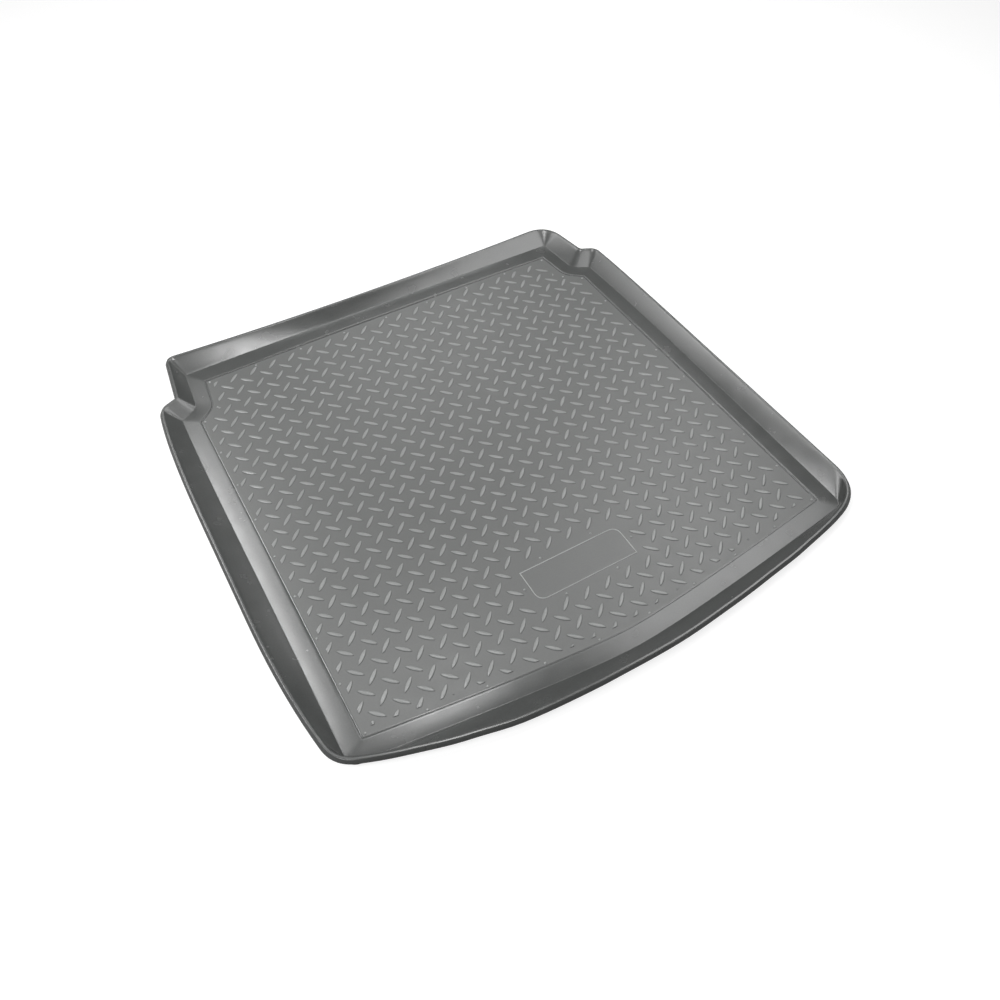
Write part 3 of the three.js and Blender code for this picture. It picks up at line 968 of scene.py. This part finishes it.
class LINER_OT_stage(bpy.types.Operator):
    """Lay the floor, set up the lamps and place the camera"""

    bl_idname = "boot_liner.stage"
    bl_label = "Stage"

    def execute(self, context):
        scene = context.scene
        settings = scene.liner_stage
        bpy.ops.mesh.primitive_circle_add(vertices=96, radius=STAGE_RADIUS, fill_type="NGON")
        floor = bpy.context.active_object
        floor.name = "floor"
        material, nodes, links, shader = material_nodes("floor_paint")
        shader.inputs["Base Color"].default_value = (*settings.floor_colour, 1)
        shader.inputs["Roughness"].default_value = STAGE_ROUGHNESS
        shader.inputs["Emission Color"].default_value = (1, 1, 1, 1)

        # the floor glows for the camera alone, so it looks white and keeps the shadow
        path = nodes.new("ShaderNodeLightPath")
        glow = nodes.new("ShaderNodeMath")
        glow.operation = "MULTIPLY"
        glow.inputs[1].default_value = STAGE_GLOW
        links.new(path.outputs["Is Camera Ray"], glow.inputs[0])
        links.new(glow.outputs["Value"], shader.inputs["Emission Strength"])
        floor.data.materials.append(material)

        world = bpy.data.worlds.new("studio")
        scene.world = world
        world.use_nodes = True
        nodes, links = world.node_tree.nodes, world.node_tree.links
        sky = nodes["Background"]
        path = nodes.new("ShaderNodeLightPath")
        seen = nodes.new("ShaderNodeMix")
        seen.inputs["A"].default_value = settings.sky
        seen.inputs["B"].default_value = 1.0
        links.new(path.outputs["Is Camera Ray"], seen.inputs["Factor"])
        links.new(seen.outputs["Result"], sky.inputs["Strength"])
        sky.inputs["Color"].default_value = (1, 1, 1, 1)

        for name, place, size, power in SOFTBOXES:
            lamp(name, place, size, power * settings.lamps)

        data = bpy.data.cameras.new("camera")
        camera = bpy.data.objects.new("camera", data)
        context.collection.objects.link(camera)
        data.sensor_width = SENSOR
        data.lens = LENS
        data.shift_x, data.shift_y = LENS_SHIFT
        data.clip_start, data.clip_end = CAMERA_CLIP
        turn = Matrix((CAMERA_RIGHT, -CAMERA_DOWN, -CAMERA_FORWARD)).transposed()
        camera.matrix_world = Matrix.Translation(CAMERA_PLACE) @ turn.to_4x4()
        scene.camera = camera
        scene.view_settings.view_transform = "Standard"
        return {"FINISHED"}


class LINER_PT_panel(bpy.types.Panel):
    """Sizes, finish and stage of the boot liner"""

    bl_label = "Boot liner"
    bl_idname = "LINER_PT_panel"
    bl_space_type = "VIEW_3D"
    bl_region_type = "UI"
    bl_category = "Boot liner"

    def draw(self, context):
        for group in (context.scene.liner_sizes, context.scene.tread_sizes,
                      context.scene.liner_finish, context.scene.liner_stage):
            box = self.layout.box()
            for prop in group.bl_rna.properties:
                if prop.identifier not in {"rna_type", "name"}:
                    box.prop(group, prop.identifier)
        for operator in OPERATORS:
            self.layout.operator(operator.bl_idname)


GROUPS = {
    "liner_sizes": LinerSizes,
    "tread_sizes": TreadSizes,
    "liner_finish": LinerFinish,
    "liner_stage": StageSettings,
}
OPERATORS = (LINER_OT_sheet, LINER_OT_tread, LINER_OT_plate, LINER_OT_nubs, LINER_OT_stage)


def register():
    for group in (*GROUPS.values(), *OPERATORS, LINER_PT_panel):
        bpy.utils.register_class(group)
    for name, group in GROUPS.items():
        setattr(bpy.types.Scene, name, PointerProperty(type=group))


def unregister():
    for name in GROUPS:
        delattr(bpy.types.Scene, name)
    for group in (LINER_PT_panel, *reversed(OPERATORS), *reversed(GROUPS.values())):
        bpy.utils.unregister_class(group)


def main():
    register()
    bpy.ops.boot_liner.sheet()
    bpy.ops.boot_liner.tread()
    bpy.ops.boot_liner.plate()
    bpy.ops.boot_liner.nubs()
    bpy.ops.boot_liner.stage()


if __name__ == "__main__":
    main()
